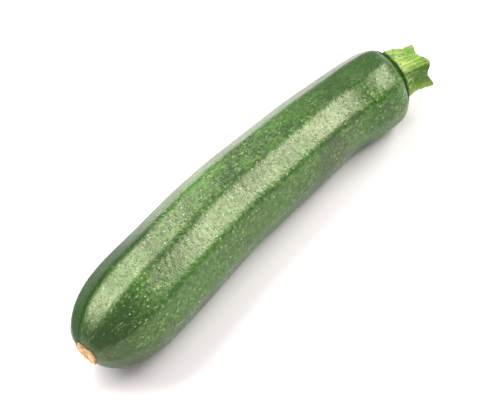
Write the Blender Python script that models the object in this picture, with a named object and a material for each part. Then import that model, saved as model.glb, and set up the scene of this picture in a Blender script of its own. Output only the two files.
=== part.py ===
"""A zucchini, picked and lying on a flat surface, as one closed solid.

Metres, +Z up. The blossom end is at -X and the stem end at +X. The origin is the middle of the
fruit's box, at the height of the surface it lies on. The solid is a sphere whose rings are moved
onto the fruit's sections: the blossom scar first, then the dome, the long body, the shoulder,
the fluted stem stub and its cut face. Angles are about the fruit's axis, from +Y towards +Z.
"""

import math

import bmesh
import bpy

# Body
BODY_LENGTH = 0.1917           # blossom end to the foot of the stem, along the chord
BELLY_RADIUS = 0.0205          # thickest place, to the top of a rib
NECK_RADIUS = 0.0176           # just before the shoulder
BELLY_PLACE = 0.20             # thickest place, as a share of the length
NECK_PLACE = 0.90
TAPER_POWER = 1.6              # how late the body starts to narrow
DOME_LENGTH = 0.0360           # rounded blossom end
DOME_POWER = 2.36              # power of its curve: 2 is an ellipse, more is blunter
SHOULDER_LENGTH = 0.0150       # rounded stem end
SHOULDER_POWER = 3.0
TIP_TILT = 0.14                # the blossom end leans over by this much for each metre across
TIP_SIDE = math.radians(-55.0) # the side that it leans back on
TIP_REACH = 0.010              # the lean fades out at this distance from the axis
NECK_FLARE = 0.0013            # the neck widens again by this much on one side
NECK_FLARE_START = 0.825       # from here, as a share of the length
NECK_FLARE_END = 0.905         # to here
NECK_FLARE_SIDE = math.radians(120.0)
NECK_PINCH = 0.0010            # on another side it is pinched in and flares out again by this
NECK_PINCH_PLACE = 0.80
NECK_PINCH_REACH = 0.05
NECK_PINCH_SIDE = math.radians(218.0)
NECK_TILT = 0.16               # the stem end leans over too, back on this side
NECK_TILT_SIDE = math.radians(143.0)
NECK_TILT_LENGTH = 0.018       # the lean grows over this length of the neck

# Bend of the axis, sideways along the surface
BEND = 0.0067                  # how far the middle stands off the chord
BEND_TO_STEM = 0.0026          # extra bend towards the stem end
KINK = 0.0009                  # a little more bend about one place
KINK_PLACE = 0.43
KINK_REACH = 0.12
LIFT = 0.0014                  # how far both ends of the underside rise off the surface

# Ribs and the bands between them
RIBS = 10
LOWEST_BAND = math.radians(-90.0)    # the middle of the band that the fruit lies on
RIB_SHARPNESS = 34             # power of the rounded polygon: higher is a sharper rib
RIB_UNEVEN = 0.010             # every other rib stands this share higher
REST_DEPTH = 0.0005            # how much of the underside is flattened where it rests

# Blossom scar
SCAR_RADIUS = 0.0051
SCAR_RAISE = 0.0007            # the disc stands this proud of the skin round it
SCAR_GAP = 1.04                # the skin starts at this many scar radii from the axis
SCAR_DISH = 0.0004             # the face is hollow by this much
SCAR_PIT_DEPTH = 0.0008
SCAR_PIT_RADIUS = 0.0013
SCAR_WAVE = 0.06               # unevenness of its edge, as a share of its radius
SCAR_WAVE_TURN = math.radians(34.0)

# Stem stub
STEM_LENGTH = 0.0113
STEM_FOOT_RADIUS = 0.0116
STEM_FOOT_REACH = 0.3          # the foot fades out over this share of the stem
FOOT_LOBE = 0.0013             # the foot bulges out by this much on one side
FOOT_LOBE_SIDE = math.radians(52.0)
FOOT_LOBE_END = 0.6            # the bulge ends at this share of the stem
STEM_WAIST_RADIUS = 0.0102
STEM_END_RADIUS = 0.0108
STEM_RIDGES = 5
STEM_RIDGE_PLACE = math.radians(131.0)
STEM_FLUTE_DEPTH = 0.0026
STEM_FLUTE_AT_FOOT = 0.35      # share of that depth at the crease
STEM_FLUTE_GROWS = 0.33        # the flutes reach full depth at this share of the stem
STEM_FLUTE_POWER = 0.8         # below 1 the ridges are narrower than the flutes
STEM_FLUTE_UNEVEN = 0.45       # share by which the shallowest flute is shallower than the mean
STEM_SHALLOW_SIDE = math.radians(95.0)
STEM_LEAN = 0.30               # sideways shift for each metre along the stem
STEM_SLANT = 0.0009            # the cut runs this much askew, from the axis to the edge
STEM_RAGGED = 0.0005           # the ridges end this unevenly
STEM_NOTCH = 0.0022            # the flutes end this much short of the ridges
GROOVE_RADIUS = 0.0102         # crease between shoulder and stem
GROOVE_DEPTH = 0.0007
CUT_DISH = 0.0010              # the cut face is hollow by this much
CUT_BEVEL = 0.9                # the face proper starts at this share of the edge's radius

# Fineness of the solid, and how its rings crowd towards the ends
SIDES = 60
SCAR_RINGS = 5
DOME_RINGS = 13
DOME_CROWDING = 1.5
BODY_RINGS = 24
SHOULDER_RINGS = 9
SHOULDER_CROWDING = 1.6
STEM_RINGS = 8
CUT_RINGS = 4
SHARP_EDGE = math.radians(40.0)

SKIN_GREEN = (0.055, 0.135, 0.030, 1.0)
SKIN_ROUGHNESS = 0.35


def clear_scene():
    """Remove whatever the scene holds."""
    for thing in list(bpy.data.objects):
        bpy.data.objects.remove(thing, do_unlink=True)


def taper(along):
    """Radius of the body without its rounded ends."""
    narrowing = max(along / BODY_LENGTH - BELLY_PLACE, 0.0) / (NECK_PLACE - BELLY_PLACE)
    return BELLY_RADIUS - (BELLY_RADIUS - NECK_RADIUS) * narrowing ** TAPER_POWER


def rounding(share, power):
    """Height of a rounded end, 0 at its tip and 1 where it meets the body."""
    return (1.0 - (1.0 - share) ** power) ** (1.0 / power)


def share_at_height(height, power):
    """Distance from the tip at which a rounded end has the given height."""
    return 1.0 - (1.0 - height ** power) ** (1.0 / power)


def dome_rings():
    """Rounded blossom end, from the edge of the scar to the body."""
    first = share_at_height(SCAR_GAP * SCAR_RADIUS / BELLY_RADIUS, DOME_POWER)
    rings = []
    for step in range(DOME_RINGS):
        share = first + (1.0 - first) * (step / DOME_RINGS) ** DOME_CROWDING
        along = DOME_LENGTH * share
        rings.append((along, taper(along) * rounding(share, DOME_POWER)))
    return rings


def scar_rings():
    """Face of the blossom scar, from its middle outwards, a little proud of the dome."""
    face = dome_rings()[0][0] - SCAR_RAISE
    rings = []
    for step in range(SCAR_RINGS):
        share = step / (SCAR_RINGS - 1)
        radius = SCAR_RADIUS * share
        dish = SCAR_DISH * (1.0 - share ** 2)
        pit = SCAR_PIT_DEPTH * math.exp(-(radius / SCAR_PIT_RADIUS) ** 2)
        rings.append((face + dish + pit, radius))
    return rings


def body_rings():
    """The long middle, evenly spaced."""
    span = BODY_LENGTH - DOME_LENGTH - SHOULDER_LENGTH
    rings = []
    for step in range(BODY_RINGS):
        along = DOME_LENGTH + span * step / BODY_RINGS
        rings.append((along, taper(along)))
    return rings


def shoulder_rings():
    """Rounded stem end, from the body to the crease at the foot of the stem."""
    last = share_at_height(GROOVE_RADIUS / NECK_RADIUS, SHOULDER_POWER)
    rings = []
    for step in range(SHOULDER_RINGS):
        remaining = 1.0 - step / (SHOULDER_RINGS - 1)
        share = last + (1.0 - last) * remaining ** SHOULDER_CROWDING
        along = BODY_LENGTH - SHOULDER_LENGTH * share
        rings.append((along, taper(along) * rounding(share, SHOULDER_POWER)))
    return rings


def stem_rings():
    """Side of the stem, from the crease over its foot and waist to the edge of the cut."""
    start = shoulder_rings()[-1][0]
    rings = [(start - GROOVE_DEPTH, GROOVE_RADIUS - GROOVE_DEPTH)]
    for step in range(STEM_RINGS):
        share = (step + 1) / STEM_RINGS
        foot = (STEM_FOOT_RADIUS - STEM_WAIST_RADIUS) * math.exp(-(share / STEM_FOOT_REACH) ** 2)
        flare = (STEM_END_RADIUS - STEM_WAIST_RADIUS) * share ** 2
        rings.append((start + STEM_LENGTH * share, STEM_WAIST_RADIUS + foot + flare))
    return rings


def cut_rings():
    """Cut face of the stem, from just inside its edge to its middle."""
    edge_along, edge_radius = stem_rings()[-1]
    rings = []
    for step in range(CUT_RINGS + 1):
        share = 1.0 - step / CUT_RINGS
        rings.append((edge_along - CUT_DISH * (1.0 - share ** 2), edge_radius * CUT_BEVEL * share))
    return rings


def rib_polygon(angle):
    """Distance to the skin at an angle, as a share of a rib's: a polygon with rounded corners."""
    half_band = math.pi / RIBS
    at_angle = 0.0
    at_rib = 0.0
    for band in range(RIBS):
        turn = 2.0 * band * half_band
        at_angle += max(math.cos(angle - LOWEST_BAND - turn), 0.0) ** RIB_SHARPNESS
        at_rib += max(math.cos(half_band - turn), 0.0) ** RIB_SHARPNESS
    uneven = 0.5 * RIB_UNEVEN * math.cos(0.5 * RIBS * (angle - LOWEST_BAND - half_band))
    return (at_rib / at_angle) ** (1.0 / RIB_SHARPNESS) * (1.0 + uneven)


def axis_slope(along):
    """Sideways slope of the axis, which the sections stand square to."""
    side = 2.0 * min(max(along / BODY_LENGTH, 0.0), 1.0) - 1.0
    by_side = BEND_TO_STEM * (1.0 - side ** 2) - 2.0 * side * (BEND + BEND_TO_STEM * side)
    from_kink = (along / BODY_LENGTH - KINK_PLACE) / KINK_REACH
    by_kink = -2.0 * from_kink * KINK * math.exp(-from_kink ** 2) / KINK_REACH
    return (2.0 * by_side + by_kink) / BODY_LENGTH


def axis_sideways(along):
    """Sideways place of the axis. Past the foot of the stem it runs on straight and leans over."""
    side = 2.0 * min(along, BODY_LENGTH) / BODY_LENGTH - 1.0
    bent = (BEND + BEND_TO_STEM * side) * (1.0 - side ** 2)
    bent += KINK * math.exp(-((along / BODY_LENGTH - KINK_PLACE) / KINK_REACH) ** 2)
    past_foot = max(along - BODY_LENGTH, 0.0)
    return bent + (axis_slope(BODY_LENGTH) - STEM_LEAN) * past_foot


def axis_height(along):
    """Height of the axis. The underside rests in the middle and rises a little to both ends."""
    inside = min(max(along, 0.0), BODY_LENGTH)
    side = 2.0 * inside / BODY_LENGTH - 1.0
    return taper(inside) * rib_polygon(LOWEST_BAND) + LIFT * side ** 2 - REST_DEPTH


def scar_section(along, radius, angle):
    """The scar is round with an uneven edge."""
    turn = angle + SCAR_WAVE_TURN
    return along, radius * (1.0 + SCAR_WAVE * math.sin(3.0 * turn) * math.sin(2.0 * turn))


def facing(angle, side):
    """1 on one side of the fruit, and fading to 0 on the other."""
    return (0.5 + 0.5 * math.cos(angle - side)) ** 4


def neck_flare(along, angle):
    """How far the neck stands out or in from the plain taper, at full thickness."""
    share = along / BODY_LENGTH
    grown = min(max((share - NECK_FLARE_START) / (NECK_FLARE_END - NECK_FLARE_START), 0.0), 1.0)
    grown = grown ** 2 * (3.0 - 2.0 * grown)
    pinched = math.exp(-((share - NECK_PINCH_PLACE) / NECK_PINCH_REACH) ** 2)
    above = NECK_FLARE * grown * facing(angle, NECK_FLARE_SIDE)
    return above + NECK_PINCH * (grown - pinched) * facing(angle, NECK_PINCH_SIDE)


def skin_section(along, radius, angle):
    """The body is a polygon with a soft rib at each corner, and its neck is uneven."""
    return along, radius * (rib_polygon(angle) + neck_flare(along, angle) / taper(along))


def stem_section(along, radius, angle):
    """The stem has ridges with flutes between them, and its cut runs askew and ragged."""
    past_foot = min(max((along - BODY_LENGTH) / STEM_LENGTH, 0.0), 1.0)
    edge_share = min(radius / STEM_WAIST_RADIUS, 1.0) ** 2
    flute = (0.5 - 0.5 * math.cos(STEM_RIDGES * (angle - STEM_RIDGE_PLACE))) ** STEM_FLUTE_POWER
    grown = min(past_foot / STEM_FLUTE_GROWS, 1.0)
    depth = STEM_FLUTE_DEPTH * (STEM_FLUTE_AT_FOOT + (1.0 - STEM_FLUTE_AT_FOOT) * grown)
    depth *= 1.0 - STEM_FLUTE_UNEVEN * math.cos(angle - STEM_SHALLOW_SIDE)
    slant = STEM_SLANT * math.cos(angle - STEM_SHALLOW_SIDE)
    ragged = -STEM_RAGGED * math.cos(3.0 * angle)
    end = (slant + ragged - STEM_NOTCH * flute) * edge_share * past_foot ** 2
    lobe = FOOT_LOBE * max(math.cos(angle - FOOT_LOBE_SIDE), 0.0) ** 4
    lobe *= math.sin(math.pi * min(past_foot / FOOT_LOBE_END, 1.0))
    return along + end, radius + (lobe - depth * flute) * edge_share


def lean_of_ends(along, radius, angle):
    """How far a point moves along the fruit because its two ends lean over."""
    if along < DOME_LENGTH:
        near_tip = 1.0 / (1.0 + (radius / TIP_REACH) ** 6)
        return TIP_TILT * near_tip * radius * math.cos(angle - TIP_SIDE)
    grown = min(max(1.0 + (along - BODY_LENGTH) / NECK_TILT_LENGTH, 0.0), 1.0)
    left = min(max(1.0 - (along - BODY_LENGTH) / STEM_LENGTH, 0.0), 1.0)
    lean = NECK_TILT * grown ** 2 * (3.0 - 2.0 * grown) * left
    return -lean * radius * math.cos(angle - NECK_TILT_SIDE)


def place_point(along, radius, angle, section):
    """Point of the fruit for a place on a ring, with the underside flattened where it rests."""
    along, radius = section(along, radius, angle)
    along += lean_of_ends(along, radius, angle)
    slope = axis_slope(along)
    square = math.hypot(1.0, slope)
    outward = radius * math.cos(angle)
    x = along - outward * slope / square
    y = axis_sideways(along) + outward / square
    z = axis_height(along) + radius * math.sin(angle)
    return x, y, max(z, 0.0)


def centre_on_box(form):
    """Move the form so that the middle of its box is over the origin."""
    for axis in (0, 1):
        values = [point.co[axis] for point in form.verts]
        middle = 0.5 * (min(values) + max(values))
        for point in form.verts:
            point.co[axis] -= middle


def make_fruit_mesh():
    """The whole fruit as one closed mesh: a sphere whose rings run along the fruit."""
    rings = [(ring, scar_section) for ring in scar_rings()]
    rings += [(ring, skin_section) for ring in dome_rings() + body_rings() + shoulder_rings()]
    rings += [(ring, stem_section) for ring in stem_rings() + cut_rings()]
    last = len(rings) - 1
    form = bmesh.new()
    bmesh.ops.create_uvsphere(form, u_segments=SIDES, v_segments=last, radius=1.0)
    for point in form.verts:
        from_tip = math.acos(max(-1.0, min(1.0, -point.co.z))) / math.pi
        angle = math.atan2(point.co.y, point.co.x)
        (along, radius), section = rings[round(from_tip * last)]
        point.co = place_point(along, radius, angle, section)
    centre_on_box(form)
    bmesh.ops.triangulate(form, faces=form.faces)
    bmesh.ops.recalc_face_normals(form, faces=form.faces)
    mesh = bpy.data.meshes.new("zucchini")
    form.to_mesh(mesh)
    form.free()
    mesh.shade_smooth()
    mesh.set_sharp_from_angle(angle=SHARP_EDGE)
    return mesh


def make_skin_material():
    """Glossy dark green skin."""
    material = bpy.data.materials.new("zucchini skin")
    material.use_nodes = True
    shader = material.node_tree.nodes["Principled BSDF"]
    shader.inputs["Base Color"].default_value = SKIN_GREEN
    shader.inputs["Roughness"].default_value = SKIN_ROUGHNESS
    shader.inputs["Metallic"].default_value = 0.0
    return material


def build():
    """Make the fruit and put it in its collection."""
    clear_scene()
    parts = bpy.data.collections.new("zucchini")
    bpy.context.scene.collection.children.link(parts)
    mesh = make_fruit_mesh()
    mesh.materials.append(make_skin_material())
    parts.objects.link(bpy.data.objects.new("zucchini", mesh))


build()
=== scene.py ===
import math

import bmesh
import bpy
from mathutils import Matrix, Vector, noise


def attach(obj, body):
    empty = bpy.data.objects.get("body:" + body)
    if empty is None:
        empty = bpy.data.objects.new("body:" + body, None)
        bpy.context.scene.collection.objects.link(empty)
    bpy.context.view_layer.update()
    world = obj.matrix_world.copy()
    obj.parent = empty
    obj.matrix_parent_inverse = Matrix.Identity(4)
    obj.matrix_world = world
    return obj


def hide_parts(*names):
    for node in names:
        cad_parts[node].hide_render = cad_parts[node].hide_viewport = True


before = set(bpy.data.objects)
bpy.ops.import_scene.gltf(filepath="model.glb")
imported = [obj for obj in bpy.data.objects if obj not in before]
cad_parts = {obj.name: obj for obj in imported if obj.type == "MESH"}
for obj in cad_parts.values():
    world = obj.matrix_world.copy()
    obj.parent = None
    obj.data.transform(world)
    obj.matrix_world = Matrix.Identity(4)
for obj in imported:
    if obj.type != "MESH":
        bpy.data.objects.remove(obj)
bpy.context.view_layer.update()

# Camera
# A long lens looks down on the fruit from beyond its blossom end, so the body runs from the
# near left to the far right and both the scar and the side of the stem show.
CAMERA_PLACE = (-0.26652, -0.28731, 0.43629)
CAMERA_TURN = (42.493, 5.883, -48.942)
LENS_MM = 100.0
SENSOR_WIDTH_MM = 36.0
NEAREST_SEEN = 0.01

camera_data = bpy.data.cameras.new("photo_camera")
camera_data.lens = LENS_MM
camera_data.sensor_width = SENSOR_WIDTH_MM
camera_data.clip_start = NEAREST_SEEN
camera_data.dof.use_dof = False
camera = bpy.data.objects.new("photo_camera", camera_data)
camera.location = CAMERA_PLACE
camera.rotation_euler = [math.radians(turn) for turn in CAMERA_TURN]
bpy.context.scene.collection.objects.link(camera)
bpy.context.scene.camera = camera

# Skin
# The thin green rind of the fruit, grown as one with the flesh. It is drawn out into about ten
# soft ribs with flattish bands between them, and it carries a thin natural wax.
BODY_LENGTH = 0.1917           # along the chord, from the scar to the foot of the stem
BELLY_RADIUS = 0.0205
NECK_RADIUS = 0.0176
BELLY_PLACE = 0.20             # a place is a share of the body's length, from the scar
NECK_PLACE = 0.90
TAPER_POWER = 1.6
DOME_LENGTH = 0.0360           # the rounded blossom end
DOME_POWER = 2.36
SHOULDER_LENGTH = 0.0150       # the rounded end at the stem
SHOULDER_POWER = 3.0
BEND = 0.0067                  # sideways, in the middle of the body
BEND_TO_STEM = 0.0026          # moves the bend towards the stem
KINK = 0.0009                  # a little more bend about one place
KINK_PLACE = 0.43
KINK_REACH = 0.12
LIFT = 0.0014                  # the underside rises this much to both ends
RIBS = 10
LOWEST_BAND = math.radians(-90.0)
RIB_SHARPNESS = 34
RIB_UNEVEN = 0.010             # every other rib stands out more, by this share of the radius
REST_DEPTH = 0.0005            # the underside is flattened this deep where it rests
STEM_LEAN = 0.30               # the stem leans over by this slope
STEM_LENGTH = 0.0113
MIDDLE_ALONG = 0.101674        # the frame's origin, measured from the blossom end
MIDDLE_SIDEWAYS = 0.004826     # and sideways from the chord
SCAR_RADIUS = 0.0051
SCAR_GAP = 1.04                # the skin starts this many scar radii from the axis
GROOVE_RADIUS = 0.0102         # of the crease between the skin and the stem
TIP_TILT = 0.14                # the blossom end is tipped over: this far back for each metre across
TIP_SIDE = math.radians(-55.0)  # towards this side
TIP_REACH = 0.010              # and this far out from the axis
TIP_POWER = 6
NECK_FLARE = 0.0013            # the neck widens again by this much on the side turned up
NECK_FLARE_START = 0.825
NECK_FLARE_END = 0.905
NECK_FLARE_SIDE = math.radians(120.0)
NECK_PINCH = 0.0010            # below, the neck is pinched in and flares out again by this much
NECK_PINCH_PLACE = 0.80
NECK_PINCH_REACH = 0.05
NECK_PINCH_SIDE = math.radians(218.0)
NECK_SIDE_POWER = 4            # how narrow the flared and pinched sides are
NECK_TILT = 0.16               # the stem end is tipped over too, this far back on this side
NECK_TILT_SIDE = math.radians(143.0)
NECK_TILT_LENGTH = 0.018       # over this length of the neck

SKIN_SIDES = 256
SKIN_DOME_RINGS = 104
SKIN_BODY_RINGS = 214
SKIN_SHOULDER_RINGS = 40
DOME_CROWDING = 1.5            # the rings stand closer together towards the scar
SHOULDER_CROWDING = 1.6        # and towards the stem
MEAN_RADIUS = 0.0190           # radius of the straight tube that the skin's pattern is laid out on
SWELL_SIZE = 0.013             # gentle unevenness of the skin, and how far it stands out
SWELL_SQUEEZE = 0.6            # it is drawn out along the fruit: under 1 is longer
SWELL_HEIGHT = 0.00016
DIMPLE_SIZE = 0.0034
DIMPLE_HEIGHT = 0.00003
FADE_AT_ENDS = 0.004           # the unevenness is full this far from the scar and the stem
TUCK = 0.0012                  # the rind turns in this deep under the scar and the stem


def eased(share):
    """A share brought between 0 and 1, with a soft start and a soft end."""
    share = min(max(share, 0.0), 1.0)
    return share ** 2 * (3.0 - 2.0 * share)


def taper(along):
    """Radius of the body without its rounded ends."""
    narrowing = max(along / BODY_LENGTH - BELLY_PLACE, 0.0) / (NECK_PLACE - BELLY_PLACE)
    return BELLY_RADIUS - (BELLY_RADIUS - NECK_RADIUS) * narrowing ** TAPER_POWER


def rounding(share, power):
    """Height of a rounded end, 0 at its tip and 1 where it meets the body."""
    return (1.0 - (1.0 - share) ** power) ** (1.0 / power)


def share_at_height(height, power):
    """Distance from the tip at which a rounded end has the given height."""
    return 1.0 - (1.0 - height ** power) ** (1.0 / power)


def rib_polygon(angle):
    """Distance to the skin at an angle, as a share of a rib's: a polygon with rounded corners."""
    half_band = math.pi / RIBS
    at_angle = 0.0
    at_rib = 0.0
    for band in range(RIBS):
        turn = 2.0 * band * half_band
        at_angle += max(math.cos(angle - LOWEST_BAND - turn), 0.0) ** RIB_SHARPNESS
        at_rib += max(math.cos(half_band - turn), 0.0) ** RIB_SHARPNESS
    uneven = 0.5 * RIB_UNEVEN * math.cos(0.5 * RIBS * (angle - LOWEST_BAND - half_band))
    return (at_rib / at_angle) ** (1.0 / RIB_SHARPNESS) * (1.0 + uneven)


LOWEST_SHARE = rib_polygon(LOWEST_BAND)


def axis_slope(along):
    """Sideways slope of the axis, which the sections stand square to."""
    side = 2.0 * min(max(along / BODY_LENGTH, 0.0), 1.0) - 1.0
    by_side = BEND_TO_STEM * (1.0 - side ** 2) - 2.0 * side * (BEND + BEND_TO_STEM * side)
    from_kink = (along / BODY_LENGTH - KINK_PLACE) / KINK_REACH
    by_kink = -2.0 * from_kink * KINK * math.exp(-from_kink ** 2) / KINK_REACH
    return (2.0 * by_side + by_kink) / BODY_LENGTH


def axis_sideways(along):
    """Sideways place of the axis. Past the foot of the stem it runs on straight and leans over."""
    side = 2.0 * min(along, BODY_LENGTH) / BODY_LENGTH - 1.0
    bent = (BEND + BEND_TO_STEM * side) * (1.0 - side ** 2)
    bent += KINK * math.exp(-((along / BODY_LENGTH - KINK_PLACE) / KINK_REACH) ** 2)
    past_foot = max(along - BODY_LENGTH, 0.0)
    return bent + (axis_slope(BODY_LENGTH) - STEM_LEAN) * past_foot


def axis_height(along):
    """Height of the axis. The underside rests in the middle and rises a little to both ends."""
    inside = min(max(along, 0.0), BODY_LENGTH)
    side = 2.0 * inside / BODY_LENGTH - 1.0
    return taper(inside) * LOWEST_SHARE + LIFT * side ** 2 - REST_DEPTH


def lean_of_ends(along, radius, angle):
    """How far a point moves along the fruit because the fruit's ends are tipped over."""
    if along < DOME_LENGTH:
        near_tip = 1.0 / (1.0 + (radius / TIP_REACH) ** TIP_POWER)
        return TIP_TILT * near_tip * radius * math.cos(angle - TIP_SIDE)
    grown = eased(1.0 + (along - BODY_LENGTH) / NECK_TILT_LENGTH)
    left = min(max(1.0 - (along - BODY_LENGTH) / STEM_LENGTH, 0.0), 1.0)
    return -NECK_TILT * grown * left * radius * math.cos(angle - NECK_TILT_SIDE)


def place_on_fruit(along, radius, angle):
    """Point of the fruit, with the underside flattened where it rests. Along is measured from the
    blossom end of the chord, and the angle about the axis, from +Y towards +Z."""
    along += lean_of_ends(along, radius, angle)
    slope = axis_slope(along)
    square = math.hypot(1.0, slope)
    outward = radius * math.cos(angle)
    x = along - outward * slope / square - MIDDLE_ALONG
    y = axis_sideways(along) + outward / square - MIDDLE_SIDEWAYS
    z = axis_height(along) + radius * math.sin(angle)
    return Vector((x, y, max(z, 0.0)))


def facing(angle, side):
    """1 on one side of the fruit, and fading to 0 on the other."""
    return (0.5 + 0.5 * math.cos(angle - side)) ** NECK_SIDE_POWER


def neck_flare(along, angle):
    """How far the neck stands out or in from the plain taper, at full thickness."""
    share = along / BODY_LENGTH
    grown = eased((share - NECK_FLARE_START) / (NECK_FLARE_END - NECK_FLARE_START))
    pinched = math.exp(-((share - NECK_PINCH_PLACE) / NECK_PINCH_REACH) ** 2)
    above = NECK_FLARE * grown * facing(angle, NECK_FLARE_SIDE)
    return above + NECK_PINCH * (grown - pinched) * facing(angle, NECK_PINCH_SIDE)


def unevenness(spot, size, squeeze=1.0, shift=0.0):
    """Random variation about 0, in lumps of the given size. A squeeze under 1 draws them out along
    the fruit, and a shift gives another pattern."""
    drawn_out = Vector((spot.x * squeeze, spot.y, spot.z))
    return noise.noise(drawn_out / size + Vector((shift, 0.0, 0.0)))


def cover(name, rings):
    """A closed mesh laid over rings of points, with each end closed by a fan of triangles."""
    form = bmesh.new()
    laid = [[form.verts.new(point) for point in ring] for ring in rings]
    for ring, following in zip(laid, laid[1:]):
        for side in range(len(ring)):
            beside = (side + 1) % len(ring)
            form.faces.new((ring[side], following[side], following[beside], ring[beside]))
    for edge in (laid[0], laid[-1]):
        middle = form.verts.new(sum((corner.co for corner in edge), Vector()) / len(edge))
        for side in range(len(edge)):
            form.faces.new((edge[side], edge[(side + 1) % len(edge)], middle))
    bmesh.ops.recalc_face_normals(form, faces=form.faces)
    mesh = bpy.data.meshes.new(name)
    form.to_mesh(mesh)
    form.free()
    mesh.shade_smooth()
    piece = bpy.data.objects.new(name, mesh)
    bpy.context.scene.collection.objects.link(piece)
    return piece


def note(piece, name, values):
    """Keep a number or a place for each point of a piece, for its material to read."""
    if isinstance(values[0], Vector):
        kept = piece.data.attributes.new(name, "FLOAT_VECTOR", "POINT")
        kept.data.foreach_set("vector", [part for value in values for part in value])
    else:
        kept = piece.data.attributes.new(name, "FLOAT", "POINT")
        kept.data.foreach_set("value", values)


def rind_rings():
    """The skin's rings as (along, radius), from under the scar to the crease below the stem."""
    rings = []
    first = share_at_height(SCAR_GAP * SCAR_RADIUS / BELLY_RADIUS, DOME_POWER)
    for step in range(SKIN_DOME_RINGS):
        share = first + (1.0 - first) * (step / SKIN_DOME_RINGS) ** DOME_CROWDING
        along = DOME_LENGTH * share
        rings.append((along, taper(along) * rounding(share, DOME_POWER)))
    span = BODY_LENGTH - DOME_LENGTH - SHOULDER_LENGTH
    for step in range(SKIN_BODY_RINGS):
        along = DOME_LENGTH + span * step / SKIN_BODY_RINGS
        rings.append((along, taper(along)))
    last = share_at_height(GROOVE_RADIUS / NECK_RADIUS, SHOULDER_POWER)
    for step in range(SKIN_SHOULDER_RINGS):
        remaining = 1.0 - step / (SKIN_SHOULDER_RINGS - 1)
        share = last + (1.0 - last) * remaining ** SHOULDER_CROWDING
        along = BODY_LENGTH - SHOULDER_LENGTH * share
        rings.append((along, taper(along) * rounding(share, SHOULDER_POWER)))
    return rings


rind = rind_rings()
whole_walk = sum(math.dist(a, b) for a, b in zip(rind, rind[1:]))
angles = [2.0 * math.pi * side / SKIN_SIDES for side in range(SKIN_SIDES)]
rib_shares = [rib_polygon(angle) for angle in angles]


def tucked_ring(along, radius, inward):
    """The last ring of the rind, turned in under the scar or the stem."""
    ring = []
    for angle, rib_share in zip(angles, rib_shares):
        ring.append(place_on_fruit(along + inward, radius * rib_share - TUCK, angle))
    return ring


skin_rings = []
skin_layout = []
walked = 0.0
for place, (along, radius) in enumerate(rind):
    if place:
        walked += math.dist(rind[place - 1], rind[place])
    fade = eased(min(walked, whole_walk - walked) / FADE_AT_ENDS)
    ring = []
    for angle, rib_share in zip(angles, rib_shares):
        spot = Vector((walked, MEAN_RADIUS * math.cos(angle), MEAN_RADIUS * math.sin(angle)))
        swell = SWELL_HEIGHT * unevenness(spot, SWELL_SIZE, SWELL_SQUEEZE)
        dimple = DIMPLE_HEIGHT * unevenness(spot, DIMPLE_SIZE)
        raised = neck_flare(along, angle) * radius / taper(along) + fade * (swell + dimple)
        ring.append(place_on_fruit(along, radius * rib_share + raised, angle))
        skin_layout.append(spot)
    skin_rings.append(ring)
skin_rings.insert(0, tucked_ring(*rind[0], TUCK))
skin_rings.append(tucked_ring(*rind[-1], -TUCK))
skin = cover("zucchini_skin", skin_rings)

# The tucked rings take the pattern of their neighbours, and the two middles lie on the axis.
skin_layout = skin_layout[:SKIN_SIDES] + skin_layout + skin_layout[-SKIN_SIDES:]
skin_layout += [Vector((0.0, 0.0, 0.0)), Vector((whole_walk, 0.0, 0.0))]
note(skin, "layout", skin_layout)


def add(tree, kind, inputs=None, **settings):
    """Put a shader node in the tree. An input given an output is linked to it."""
    node = tree.nodes.new("ShaderNode" + kind)
    for setting, value in settings.items():
        setattr(node, setting, value)
    for socket, value in (inputs or {}).items():
        if isinstance(value, bpy.types.NodeSocket):
            tree.links.new(value, node.inputs[socket])
        else:
            node.inputs[socket].default_value = value
    return node


def start_material(name):
    """An empty material, the tree to build on and its shader."""
    material = bpy.data.materials.new(name)
    material.use_nodes = True
    return material, material.node_tree, material.node_tree.nodes["Principled BSDF"]


def noted(tree, name, output="Fac"):
    """What was kept for the points of a piece, read back."""
    return add(tree, "Attribute", attribute_name=name).outputs[output]


def stretched(tree, places, size, stretch=1.0):
    """Places counted in pattern sizes, with the pattern drawn out along the fruit."""
    scale = (1.0 / (size * stretch), 1.0 / size, 1.0 / size)
    return add(tree, "Mapping", {"Vector": places, "Scale": scale}).outputs[0]


def clouds(tree, places, size, stretch=1.0, detail=2.0, roughness=0.5):
    """Soft random variation. At half scale its blotches are of about the given size."""
    inputs = {"Vector": stretched(tree, places, size, stretch), "Scale": 0.5, "Detail": detail,
              "Roughness": roughness}
    return add(tree, "TexNoise", inputs)


def cloudy(tree, places, size, **manner):
    """The same as one number, 0 to 1."""
    return clouds(tree, places, size, **manner).outputs["Fac"]


def rise(tree, value, start, full, top=1.0):
    """0 up to the start, and top from full on. Full may be above the start or below it."""
    inputs = {"Value": value, "From Min": start, "From Max": full, "To Min": 0.0, "To Max": top}
    return add(tree, "MapRange", inputs, interpolation_type="SMOOTHSTEP", clamp=True).outputs[0]


def compute(tree, operation, first, second):
    """One step of arithmetic."""
    return add(tree, "Math", {0: first, 1: second}, operation=operation).outputs[0]


def both(tree, first, second):
    """The share where two shares meet."""
    return compute(tree, "MULTIPLY", first, second)


def tint(tree, share, under, over, strength=1.0):
    """One colour over another, by share. A strength under 1 lets some of the lower one through."""
    if strength < 1.0:
        share = compute(tree, "MULTIPLY", share, strength)
    return add(tree, "Mix", {0: share, 6: under, 7: over}, data_type="RGBA").outputs[2]


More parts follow.
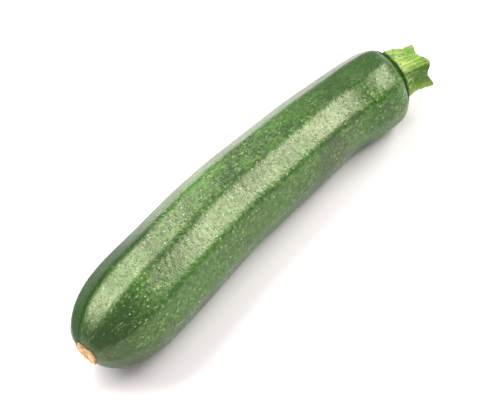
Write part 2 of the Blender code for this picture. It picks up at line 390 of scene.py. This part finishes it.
def specks(tree, places, spacing, stretch, least, extra):
    """Scattered roundish specks, 1 in their middles. Each reaches at least the least share of the
    spacing, and up to the extra share more."""
    inputs = {"Vector": stretched(tree, places, spacing, stretch), "Scale": 1.0, "Randomness": 1.0}
    cells = add(tree, "TexVoronoi", inputs, feature="F1")
    chance = add(tree, "SeparateColor", {0: cells.outputs["Color"]}).outputs[0]
    reach = compute(tree, "ADD", rise(tree, chance, start=0.2, full=1.0, top=extra), least)
    from_middle = compute(tree, "DIVIDE", cells.outputs["Distance"], reach)
    return rise(tree, compute(tree, "SUBTRACT", 1.0, from_middle), start=0.0, full=0.5)


def emboss(tree, shader, pattern, height):
    """Fine relief on a finish, which stands out where the pattern is high."""
    bump = add(tree, "Bump", {"Height": pattern, "Strength": 1.0, "Distance": height})
    tree.links.new(bump.outputs[0], shader.inputs["Normal"])


DEEP_GREEN = (0.008, 0.037, 0.004, 1.0)
LEAF_GREEN = (0.018, 0.084, 0.006, 1.0)
SOFT_GREEN = (0.058, 0.162, 0.019, 1.0)
PALE_GREEN = (0.280, 0.410, 0.160, 1.0)

PATCH_SIZE = 0.008             # broad patches of deeper and lighter green
CROWDING_SIZE = 0.006          # how the mottling and the freckles crowd together
MOTTLING_SIZE = 0.0007
GRAIN_SIZE = 0.0006
CROOK_SIZE = 0.0012            # the fine pattern is pushed out of line, in steps of this size
CROOK_REACH = 0.0010           # and by up to half this much
FRECKLE_SPACING = 0.0013
DOT_SPACING = 0.0025
DASH_SPACING = 0.0018
PEBBLE_SIZE = 0.0009           # the finest relief of the skin
PORE_SPACING = 0.0011
PORE_SHARE = 0.35              # the pores' height beside the pebbles'
SKIN_RELIEF = 0.00013

# Each pair says where a change in the skin starts and where it is full: along the skin from the
# scar, or across it from the middle of the fruit.
# A patch on the -Y side near the blossom end is deeper green: partly the skin's own tone, partly painted
# shade.
DEEP_SHADED_PATCH_ALONG = (0.038, 0.020)
DEEP_SHADED_PATCH_ACROSS = (-0.004, -0.009)
DEEP_SHADED_PATCH_LOWER_EDGE = (-0.0175, -0.0150)
BLOSSOM_DASHES = (0.060, 0.020)
SHOULDER_DASHES = (whole_walk - 0.012, whole_walk - 0.007)
# Painted shade: the +Y half of the neck is tinted deeper green.
NECK_SHADE_ALONG = (0.110, 0.165)
NECK_SHADE_ACROSS = (-0.011, -0.003)
# Painted shade: the +Y side near the blossom end is tinted deeper green, and most of its shine is taken
# off.
SHADED_RIM_ALONG = (0.085, 0.040)
SHADED_RIM_ACROSS = (0.003, 0.007)
# The skin grows deeper green towards the scar: partly its own tone, partly painted shade.
DEEP_SHADED_TIP = (0.024, 0.006)
# Painted shade by the crease at the stem: a deeper green band, and a dark line at its bottom.
CREASE_SHADE_BAND = (whole_walk - 0.0080, whole_walk - 0.0056)
CREASE_SHADE_LINE = (whole_walk - 0.0026, whole_walk - 0.0010)
DULLER_NECK = (0.150, 0.168)

WAX_PATCH_SIZE = 0.004
SMOOTHEST_WAX = 0.26
ROUGHEST_WAX = 0.36
ROUGHER_AT_CREASE = 0.30
FULL_SHINE = 0.5
RIM_DULLING = 0.92              # share of the shine that is taken off at most, on the +Y side near the blossom end
LOST_AT_NECK = 0.12            # shine that is missing on the neck
WAX_TINT = (0.93, 0.93, 0.70, 1.0)
WAX_IOR = 1.58

skin_finish, tree, shader = start_material("waxy_green_rind")
straight = noted(tree, "layout", "Vector")
on_skin = add(tree, "SeparateXYZ", {0: straight})
walk = on_skin.outputs[0]
across = on_skin.outputs[1]
crook = clouds(tree, straight, CROOK_SIZE, detail=1.0).outputs["Color"]
crook = add(tree, "VectorMath", {0: crook, 1: (0.5, 0.5, 0.5)}, operation="SUBTRACT").outputs[0]
crook = add(tree, "VectorMath", {0: crook, "Scale": CROOK_REACH}, operation="SCALE").outputs[0]
crooked = add(tree, "VectorMath", {0: straight, 1: crook}, operation="ADD").outputs[0]

patches = cloudy(tree, straight, PATCH_SIZE, stretch=2.5, detail=3.0)
colour = tint(tree, rise(tree, patches, start=0.36, full=0.64), DEEP_GREEN, LEAF_GREEN)
crowding = cloudy(tree, straight, CROWDING_SIZE, stretch=1.5)
mottling = cloudy(tree, crooked, MOTTLING_SIZE, stretch=1.4, detail=1.5, roughness=0.6)
mottled = both(tree, rise(tree, mottling, start=0.40, full=0.68),
               rise(tree, crowding, start=0.25, full=0.65, top=0.85))
colour = tint(tree, mottled, colour, SOFT_GREEN)
# Deeper green patch near the blossom end, partly painted shade.
deep_shaded_patch = both(tree, rise(tree, walk, *DEEP_SHADED_PATCH_ALONG), rise(tree, across, *DEEP_SHADED_PATCH_ACROSS))
deep_shaded_patch = both(tree, deep_shaded_patch, rise(tree, across, *DEEP_SHADED_PATCH_LOWER_EDGE, top=0.80))
colour = tint(tree, deep_shaded_patch, colour, DEEP_GREEN)

freckles = specks(tree, crooked, FRECKLE_SPACING, stretch=1.7, least=0.10, extra=0.26)
freckled = both(tree, freckles, rise(tree, crowding, start=0.25, full=0.60, top=0.70))
colour = tint(tree, freckled, colour, PALE_GREEN)
grain = cloudy(tree, crooked, GRAIN_SIZE, stretch=1.4, detail=1.0, roughness=0.6)
colour = tint(tree, rise(tree, grain, start=0.48, full=0.36, top=0.36), colour, DEEP_GREEN)
colour = tint(tree, rise(tree, grain, start=0.56, full=0.70, top=0.16), colour, PALE_GREEN)
dots = specks(tree, crooked, DOT_SPACING, stretch=1.5, least=0.05, extra=0.10)
colour = tint(tree, dots, colour, PALE_GREEN, strength=0.80)
dashes = specks(tree, crooked, DASH_SPACING, stretch=3.4, least=0.05, extra=0.22)
at_ends = compute(tree, "MAXIMUM", rise(tree, walk, *BLOSSOM_DASHES), rise(tree, walk, *SHOULDER_DASHES))
colour = tint(tree, both(tree, dashes, at_ends), colour, PALE_GREEN, strength=0.62)

# Painted shade on the +Y half of the neck.
neck_shade = both(tree, rise(tree, walk, *NECK_SHADE_ALONG), rise(tree, across, *NECK_SHADE_ACROSS))
colour = tint(tree, neck_shade, colour, DEEP_GREEN, strength=0.75)
# Painted shade on the +Y side near the blossom end.
shaded_far_rim = both(tree, rise(tree, walk, *SHADED_RIM_ALONG), rise(tree, across, *SHADED_RIM_ACROSS))
colour = tint(tree, shaded_far_rim, colour, DEEP_GREEN, strength=0.80)
# Deeper green towards the scar, partly painted shade.
colour = tint(tree, rise(tree, walk, *DEEP_SHADED_TIP, top=0.45), colour, DEEP_GREEN)
# Painted shade in the band by the crease, where the wax is also rougher and duller, and a dark line in
# the crease itself.
crease_shade_band = rise(tree, walk, *CREASE_SHADE_BAND)
colour = tint(tree, crease_shade_band, colour, DEEP_GREEN, strength=0.70)
colour = tint(tree, rise(tree, walk, *CREASE_SHADE_LINE), colour, DEEP_GREEN)
tree.links.new(colour, shader.inputs["Base Color"])

pebbles = cloudy(tree, straight, PEBBLE_SIZE, stretch=1.1, roughness=0.6)
pores = specks(tree, straight, PORE_SPACING, stretch=1.1, least=0.25, extra=0.25)
relief = compute(tree, "ADD", pebbles, compute(tree, "MULTIPLY", pores, PORE_SHARE))
emboss(tree, shader, relief, SKIN_RELIEF)

wax_patches = cloudy(tree, crooked, WAX_PATCH_SIZE, stretch=1.5, detail=3.0)
dulling = compute(tree, "MULTIPLY", compute(tree, "ADD", mottling, wax_patches), 0.5)
wax = add(tree, "MapRange", {"Value": dulling, "From Min": 0.38, "From Max": 0.62,
                             "To Min": SMOOTHEST_WAX, "To Max": ROUGHEST_WAX}).outputs[0]
wax = compute(tree, "ADD", wax, compute(tree, "MULTIPLY", crease_shade_band, ROUGHER_AT_CREASE))
tree.links.new(wax, shader.inputs["Roughness"])
dull = compute(tree, "MAXIMUM", crease_shade_band, compute(tree, "MULTIPLY", shaded_far_rim, RIM_DULLING))
shine = compute(tree, "SUBTRACT", FULL_SHINE, compute(tree, "MULTIPLY", dull, FULL_SHINE))
shine = compute(tree, "SUBTRACT", shine, rise(tree, walk, *DULLER_NECK, top=LOST_AT_NECK))
tree.links.new(compute(tree, "MAXIMUM", shine, 0.0), shader.inputs["Specular IOR Level"])
shader.inputs["Specular Tint"].default_value = WAX_TINT
shader.inputs["IOR"].default_value = WAX_IOR
skin.data.materials.append(skin_finish)
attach(skin, "root")
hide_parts("zucchini")

# Stem
# The stub of the stalk that the fruit hung from, cut through a finger's width above the skin. It
# is juicy and tough, with five ridges and deep flutes, and its foot spreads in pale lobes.
STEM_FOOT_RADIUS = 0.0116
STEM_FOOT_REACH = 0.3          # the foot narrows over this share of the stem's length
FOOT_LOBE = 0.0013             # the foot's largest lobe, on one side
FOOT_LOBE_SIDE = math.radians(52.0)
FOOT_LOBE_END = 0.6
FOOT_LOBE_POWER = 4
STEM_WAIST_RADIUS = 0.0102
STEM_END_RADIUS = 0.0108
STEM_RIDGES = 5
STEM_RIDGE_PLACE = math.radians(131.0)
STEM_FLUTE_DEPTH = 0.0026
STEM_FLUTE_AT_FOOT = 0.35      # the flutes have this share of their depth at the foot
STEM_FLUTE_GROWS = 0.33        # and all of it from this share of the length on
STEM_FLUTE_POWER = 0.8
STEM_FLUTE_UNEVEN = 0.45       # they are this share shallower on one side, and deeper opposite
STEM_SHALLOW_SIDE = math.radians(95.0)
STEM_SLANT = 0.0009            # the cut is slanted by this much,
STEM_RAGGED = 0.0005           # uneven by this much
STEM_NOTCH = 0.0022            # and notched this deep at the flutes
GROOVE_DEPTH = 0.0007          # the stem starts two steps of this size down in the crease
CUT_DISH = 0.0010              # the cut face is dished this deep
CUT_BEVEL = 0.9                # inside this share of the stem's radius
STEM_SIDES = 200
STEM_SIDE_RINGS = 90
STEM_CUT_RINGS = 40

WART_SIZE = 0.0011
WART_HEIGHT = 0.00045
WART_POWER = 1.5
LOBE_SIZE = 0.0026
LOBE_SQUEEZE = 0.7
LOBE_SHIFT = 3.0
LOBE_HEIGHT = 0.00080
LOBES_END = 0.35               # the lobes die away over this share of the stem, from its foot
LUMPS_START = 0.08             # warts, lobes and fibres grow in over this share
FIBRE_SIZE = 0.0007
FIBRE_SQUEEZE = 0.25
FIBRE_HEIGHT = 0.00012
FLUTE_SHADE_TURN = 0.14        # the flutes' painted shade is deepest this far to one side of their middles


def flute_share(angle):
    """0 on a ridge of the stem and 1 in the middle of a flute."""
    return (0.5 - 0.5 * math.cos(STEM_RIDGES * (angle - STEM_RIDGE_PLACE))) ** STEM_FLUTE_POWER


def stem_point(along, radius, angle):
    """Point of the stem, from its place on the plain turned form."""
    past_foot = min(max((along - BODY_LENGTH) / STEM_LENGTH, 0.0), 1.0)
    edge_share = min(radius / STEM_WAIST_RADIUS, 1.0) ** 2
    flute = flute_share(angle)
    grown = min(past_foot / STEM_FLUTE_GROWS, 1.0)
    depth = STEM_FLUTE_DEPTH * (STEM_FLUTE_AT_FOOT + (1.0 - STEM_FLUTE_AT_FOOT) * grown)
    depth *= 1.0 - STEM_FLUTE_UNEVEN * math.cos(angle - STEM_SHALLOW_SIDE)
    slant = STEM_SLANT * math.cos(angle - STEM_SHALLOW_SIDE)
    ragged = -STEM_RAGGED * math.cos(3.0 * angle)
    end = (slant + ragged - STEM_NOTCH * flute) * edge_share * past_foot ** 2
    lobe = FOOT_LOBE * max(math.cos(angle - FOOT_LOBE_SIDE), 0.0) ** FOOT_LOBE_POWER
    lobe *= math.sin(math.pi * min(past_foot / FOOT_LOBE_END, 1.0))
    return place_on_fruit(along + end, radius + (lobe - depth * flute) * edge_share, angle)


stem_start = rind[-1][0]
stem_profile = []
for depth in (2.0 * GROOVE_DEPTH, GROOVE_DEPTH):
    stem_profile.append((stem_start - depth, GROOVE_RADIUS - depth))
for step in range(STEM_SIDE_RINGS):
    share = (step + 1) / STEM_SIDE_RINGS
    foot = (STEM_FOOT_RADIUS - STEM_WAIST_RADIUS) * math.exp(-(share / STEM_FOOT_REACH) ** 2)
    flare = (STEM_END_RADIUS - STEM_WAIST_RADIUS) * share ** 2
    stem_profile.append((stem_start + STEM_LENGTH * share, STEM_WAIST_RADIUS + foot + flare))
first_cut_ring = len(stem_profile)
edge_along, edge_radius = stem_profile[-1]
for step in range(STEM_CUT_RINGS):
    share = 1.0 - step / STEM_CUT_RINGS
    stem_profile.append((edge_along - CUT_DISH * (1.0 - share ** 2), edge_radius * CUT_BEVEL * share))

stem_rings = []
stem_layout = []
stem_flute_shade = []
stem_cut = []
stem_up = []
stem_lumps = []
for place, (along, radius) in enumerate(stem_profile):
    up = min(max((along - stem_start) / STEM_LENGTH, 0.0), 1.0)
    near_foot = math.exp(-(up / LOBES_END) ** 2)
    grown = min(up / LUMPS_START, 1.0)
    on_cut = place >= first_cut_ring
    ring = []
    for side in range(STEM_SIDES):
        angle = 2.0 * math.pi * side / STEM_SIDES
        spot = Vector((along, radius * math.cos(angle), radius * math.sin(angle)))
        if on_cut:
            lump = 0.0
            fibre = FIBRE_HEIGHT * unevenness(spot, FIBRE_SIZE)
            ring.append(stem_point(along + fibre, radius, angle))
        else:
            wart = max(unevenness(spot, WART_SIZE), 0.0) ** WART_POWER
            lobe = unevenness(spot, LOBE_SIZE, LOBE_SQUEEZE, LOBE_SHIFT)
            lump = WART_HEIGHT * wart + LOBE_HEIGHT * lobe * near_foot
            fibre = FIBRE_HEIGHT * unevenness(spot, FIBRE_SIZE, FIBRE_SQUEEZE)
            ring.append(stem_point(along, radius + grown * (lump + fibre), angle))
        stem_layout.append(spot)
        # The flute share is turned to one side here, for the painted shade in the flutes.
        stem_flute_shade.append(flute_share(angle + FLUTE_SHADE_TURN))
        stem_cut.append(1.0 if on_cut else 0.0)
        stem_up.append(up)
        stem_lumps.append(lump / LOBE_HEIGHT)
    stem_rings.append(ring)
stem = cover("zucchini_stem", stem_rings)

# The last two of each are the middles, under the foot and on the cut.
note(stem, "layout", stem_layout + [Vector((stem_start, 0.0, 0.0)), Vector((edge_along, 0.0, 0.0))])
note(stem, "flute", stem_flute_shade + [0.0, 0.0])
note(stem, "cut", stem_cut + [0.0, 1.0])
note(stem, "up", stem_up + [0.0, 1.0])
note(stem, "lump", stem_lumps + [0.0, 0.0])

STEM_DEEP = (0.040, 0.135, 0.008, 1.0)
STEM_BRIGHT = (0.150, 0.255, 0.034, 1.0)
STEM_PALE = (0.345, 0.435, 0.125, 1.0)
# The darkest green is for painted shade, in the crease round the stem's foot and in small pits.
CREASE_SHADE_GREEN = (0.026, 0.062, 0.008, 1.0)
CUT_CREAM = (0.560, 0.570, 0.300, 1.0)
CUT_GREEN = (0.260, 0.360, 0.120, 1.0)

STEM_PATCH_SIZE = 0.0022
STEM_STREAK_SIZE = 0.0005
STEM_SPECK_SPACING = 0.0010
STEM_PIT_SPACING = 0.0014
PITH_SIZE = 0.0008
STEM_RIPPLE_SIZE = 0.0010
RIPPLE_SHARE = 0.7             # the ripples' height beside the streaks'
SPECK_SHARE = 0.5              # and the specks'
STEM_RELIEF = 0.0003
STEM_ROUGHNESS = 0.45
STEM_SHINE = 0.28

# Where a change starts and where it is full, by height from the stem's axis.
# Painted light: the top of the stem, where the light falls, stays bright.
LIT_TOP = (0.0065, 0.0098)
# Painted light: the side of the stem turned down is paler.
LIT_UNDERSIDE = (0.001, -0.005)

# The same by the share of the stem's length, from its foot.
PALE_FOOT = (0.60, 0.20)
# Painted shade: a dark line round the stem's foot, where it meets the crease.
FOOT_SHADE_LINE = (0.13, 0.02)


def ragged_edge(tree, value, uneven, amount):
    """A value with unevenness added to it, so that what it marks out has a ragged edge."""
    return compute(tree, "ADD", value, compute(tree, "MULTIPLY", uneven, amount))


stem_finish, tree, shader = start_material("ridged_green_stalk")
places = noted(tree, "layout", "Vector")
flute = noted(tree, "flute")
cut = noted(tree, "cut")
up = noted(tree, "up")
lump = noted(tree, "lump")
turned_up = add(tree, "SeparateXYZ", {0: places}).outputs[2]
patches = cloudy(tree, places, STEM_PATCH_SIZE, stretch=2.0, detail=3.0)
uneven = compute(tree, "SUBTRACT", patches, 0.5)

# Painted shade in the flutes, turned to one side of them and kept off the lit top.
shaded_below_top = compute(tree, "SUBTRACT", 1.0, rise(tree, turned_up, *LIT_TOP, top=0.65))
flute_shade = rise(tree, ragged_edge(tree, flute, uneven, amount=1.6), start=-0.05, full=0.60)
colour = tint(tree, both(tree, shaded_below_top, flute_shade), STEM_BRIGHT, STEM_DEEP)
# Painted light on the side of the stem turned down.
colour = tint(tree, rise(tree, turned_up, *LIT_UNDERSIDE, top=0.35), colour, STEM_PALE)
at_foot = rise(tree, ragged_edge(tree, up, uneven, amount=0.8), *PALE_FOOT)
raised = rise(tree, ragged_edge(tree, lump, uneven, amount=0.7), start=-0.10, full=0.30)
colour = tint(tree, both(tree, at_foot, raised), colour, STEM_PALE, strength=0.65)
# Painted shade where the stem's lumps sink in, between the lobes of its foot.
hollow_shade = rise(tree, ragged_edge(tree, lump, uneven, amount=0.5), start=0.00, full=-0.30, top=0.7)
colour = tint(tree, hollow_shade, colour, STEM_DEEP)

streaks = cloudy(tree, places, STEM_STREAK_SIZE, stretch=7.0)
colour = tint(tree, rise(tree, streaks, start=0.50, full=0.66, top=0.40), colour, STEM_PALE)
colour = tint(tree, rise(tree, streaks, start=0.48, full=0.34, top=0.45), colour, STEM_DEEP)
pale_specks = specks(tree, places, STEM_SPECK_SPACING, stretch=1.0, least=0.18, extra=0.24)
colour = tint(tree, pale_specks, colour, STEM_PALE, strength=0.70)
# Painted shade: scattered dark specks stand in for small pits.
pit_shade = specks(tree, places, STEM_PIT_SPACING, stretch=1.6, least=0.14, extra=0.26)
colour = tint(tree, pit_shade, colour, CREASE_SHADE_GREEN, strength=0.75)
# Painted shade in the crease, round the stem's foot.
foot_shade_line = rise(tree, ragged_edge(tree, up, uneven, amount=0.12), *FOOT_SHADE_LINE)
colour = tint(tree, foot_shade_line, colour, CREASE_SHADE_GREEN)
pith = cloudy(tree, places, PITH_SIZE, detail=3.0)
cut_colour = tint(tree, rise(tree, pith, start=0.40, full=0.65), CUT_CREAM, CUT_GREEN)
colour = tint(tree, cut, colour, cut_colour)
tree.links.new(colour, shader.inputs["Base Color"])

ripples = cloudy(tree, places, STEM_RIPPLE_SIZE, stretch=1.5, detail=3.0)
relief = compute(tree, "ADD", compute(tree, "MULTIPLY", ripples, RIPPLE_SHARE),
                 compute(tree, "MULTIPLY", pale_specks, SPECK_SHARE))
emboss(tree, shader, compute(tree, "ADD", relief, streaks), STEM_RELIEF)
shader.inputs["Roughness"].default_value = STEM_ROUGHNESS
shader.inputs["Specular IOR Level"].default_value = STEM_SHINE
stem.data.materials.append(stem_finish)
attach(stem, "root")
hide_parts("zucchini")

# Scar
# Where the flower dropped off the young fruit a small round patch healed over with cork. It is
# dry and tan, a little proud of the skin, with a darker rim and a pit in its middle.
SCAR_RAISE = 0.0007
SCAR_DISH = 0.0004
SCAR_PIT_DEPTH = 0.0008
SCAR_PIT_RADIUS = 0.0013
SCAR_RIM = ((0.3, 1.04), (1.0, 1.06), (2.5, 1.00))  # depth in SCAR_RAISE, reach in SCAR_RADIUS
SCAR_WAVE = 0.06               # the outline wanders by up to this share of the radius
SCAR_WAVE_TURN = math.radians(34.0)
SCAR_SIDES = 120
SCAR_FACE_RINGS = 40

CORK_RIM_SIZE = 0.0022
CORK_RIM_UNEVEN = 0.10
CORK_RIM_POWER = 4
CORK_LUMP_SIZE = 0.0017
CORK_LUMP_HEIGHT = 0.00050
CORK_GRAIN_SIZE = 0.0006
CORK_GRAIN_HEIGHT = 0.00018

scar_face = rind[0][0] - SCAR_RAISE
scar_profile = []
for step in range(1, SCAR_FACE_RINGS + 1):
    share = step / SCAR_FACE_RINGS
    radius = SCAR_RADIUS * share
    pit = SCAR_PIT_DEPTH * math.exp(-(radius / SCAR_PIT_RADIUS) ** 2)
    scar_profile.append((scar_face + SCAR_DISH * (1.0 - share ** 2) + pit, radius))
for depth, reach in SCAR_RIM:
    scar_profile.append((scar_face + depth * SCAR_RAISE, reach * SCAR_RADIUS))

scar_rings = []
scar_out = []
scar_lumps = []
for place, (along, radius) in enumerate(scar_profile):
    ring = []
    for side in range(SCAR_SIDES):
        angle = 2.0 * math.pi * side / SCAR_SIDES
        turn = angle + SCAR_WAVE_TURN
        wave = 1.0 + SCAR_WAVE * math.sin(3.0 * turn) * math.sin(2.0 * turn)
        edge = Vector((0.0, math.cos(angle), math.sin(angle))) * SCAR_RADIUS
        near_rim = (radius / SCAR_RADIUS) ** CORK_RIM_POWER
        wave += CORK_RIM_UNEVEN * unevenness(edge, CORK_RIM_SIZE) * near_rim
        spot = Vector((0.0, radius * math.cos(angle), radius * math.sin(angle)))
        lump = unevenness(spot, CORK_LUMP_SIZE)
        relief = CORK_LUMP_HEIGHT * lump + CORK_GRAIN_HEIGHT * unevenness(spot, CORK_GRAIN_SIZE)
        if place > SCAR_FACE_RINGS:
            relief = 0.0
        ring.append(place_on_fruit(along - relief, radius * wave, angle))
        scar_out.append(radius / SCAR_RADIUS)
        scar_lumps.append(lump)
    scar_rings.append(ring)
scar = cover("zucchini_scar", scar_rings)
note(scar, "outward", scar_out + [0.0, 1.0])
note(scar, "lump", scar_lumps + [0.0, 0.0])

CORK_CREAM = (0.720, 0.540, 0.310, 1.0)
CORK_TAN = (0.560, 0.300, 0.110, 1.0)
CORK_BROWN = (0.200, 0.090, 0.030, 1.0)
CORK_PATCH_SIZE = 0.0012
CORK_RELIEF = 0.0004
CORK_ROUGHNESS = 0.8

scar_finish, tree, shader = start_material("dry_corky_scar")
places = add(tree, "TexCoord").outputs["Object"]
patches = cloudy(tree, places, CORK_PATCH_SIZE, detail=3.0, roughness=0.6)
uneven = compute(tree, "SUBTRACT", patches, 0.5)
raised = ragged_edge(tree, noted(tree, "lump"), uneven, amount=1.2)
colour = tint(tree, rise(tree, raised, start=-0.20, full=0.30), CORK_TAN, CORK_CREAM)
outward = ragged_edge(tree, noted(tree, "outward"), uneven, amount=0.6)
colour = tint(tree, rise(tree, outward, start=0.90, full=1.12, top=0.9), colour, CORK_BROWN)
colour = tint(tree, rise(tree, raised, start=-0.25, full=-0.55, top=0.8), colour, CORK_BROWN)
tree.links.new(colour, shader.inputs["Base Color"])
emboss(tree, shader, patches, CORK_RELIEF)
shader.inputs["Roughness"].default_value = CORK_ROUGHNESS
scar.data.materials.append(scar_finish)
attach(scar, "root")
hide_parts("zucchini")

# Floor
# A wide sheet of matt white paper, laid flat. The fruit lies on it, and it fills the whole
# picture.
FLOOR_SIDE = 6.0
PAPER_WHITE = (0.76, 0.75, 0.775, 1.0)
PAPER_ROUGHNESS = 0.9
PAPER_SHINE = 0.1

bpy.ops.mesh.primitive_plane_add(size=FLOOR_SIDE, location=(0.0, 0.0, 0.0))
floor = bpy.context.object
floor.name = "white_paper"
floor_finish, tree, shader = start_material("matt_white_paper")
shader.inputs["Base Color"].default_value = PAPER_WHITE
shader.inputs["Roughness"].default_value = PAPER_ROUGHNESS
shader.inputs["Specular IOR Level"].default_value = PAPER_SHINE
floor.data.materials.append(floor_finish)

# Lights
# Three soft panels hang about the fruit: one to the right of the camera, which shines along its
# near upper side, and two over its far side. The room behind them is dim and even.
PANEL_DISTANCE = 0.8
LIGHT_CENTRE = Vector((0.0, 0.0, 0.02))
WARM_WHITE = (1.0, 0.975, 0.90)
ROOM_COLOUR = (1.0, 0.92, 0.95, 1.0)
ROOM_BRIGHTNESS = 0.74


def hang_panel(name, azimuth, elevation, across, up, width, height, glow):
    """A soft panel that faces the fruit. It is shifted across and up in its own plane."""
    azimuth = math.radians(azimuth)
    elevation = math.radians(elevation)
    outward = Vector((math.cos(elevation) * math.cos(azimuth), math.cos(elevation) * math.sin(azimuth),
                      math.sin(elevation)))
    sideways = Vector((-math.sin(azimuth), math.cos(azimuth), 0.0))
    upward = outward.cross(sideways)
    panel = bpy.data.lights.new(name, "AREA")
    panel.shape = "RECTANGLE"
    panel.size = width
    panel.size_y = height
    panel.energy = glow * math.pi * width * height
    panel.color = WARM_WHITE
    lamp = bpy.data.objects.new(name, panel)
    lamp.location = LIGHT_CENTRE + outward * PANEL_DISTANCE + sideways * across + upward * up
    lamp.rotation_euler = outward.to_track_quat("Z", "Y").to_euler()
    lamp.visible_camera = False
    bpy.context.scene.collection.objects.link(lamp)


hang_panel("side_panel", azimuth=-30.0, elevation=35.0, across=0.092, up=0.090,
           width=0.615, height=0.230, glow=17.5)
hang_panel("far_panel_low", azimuth=75.0, elevation=52.0, across=-0.128, up=0.025,
           width=0.124, height=0.29, glow=19.5)
hang_panel("far_panel_high", azimuth=75.0, elevation=52.0, across=0.455, up=0.19,
           width=0.89, height=0.32, glow=13.5)

world = bpy.data.worlds.new("dim_room")
world.use_nodes = True
world.node_tree.nodes["Background"].inputs["Color"].default_value = ROOM_COLOUR
world.node_tree.nodes["Background"].inputs["Strength"].default_value = ROOM_BRIGHTNESS
bpy.context.scene.world = world
bpy.context.scene.view_settings.view_transform = "Standard"
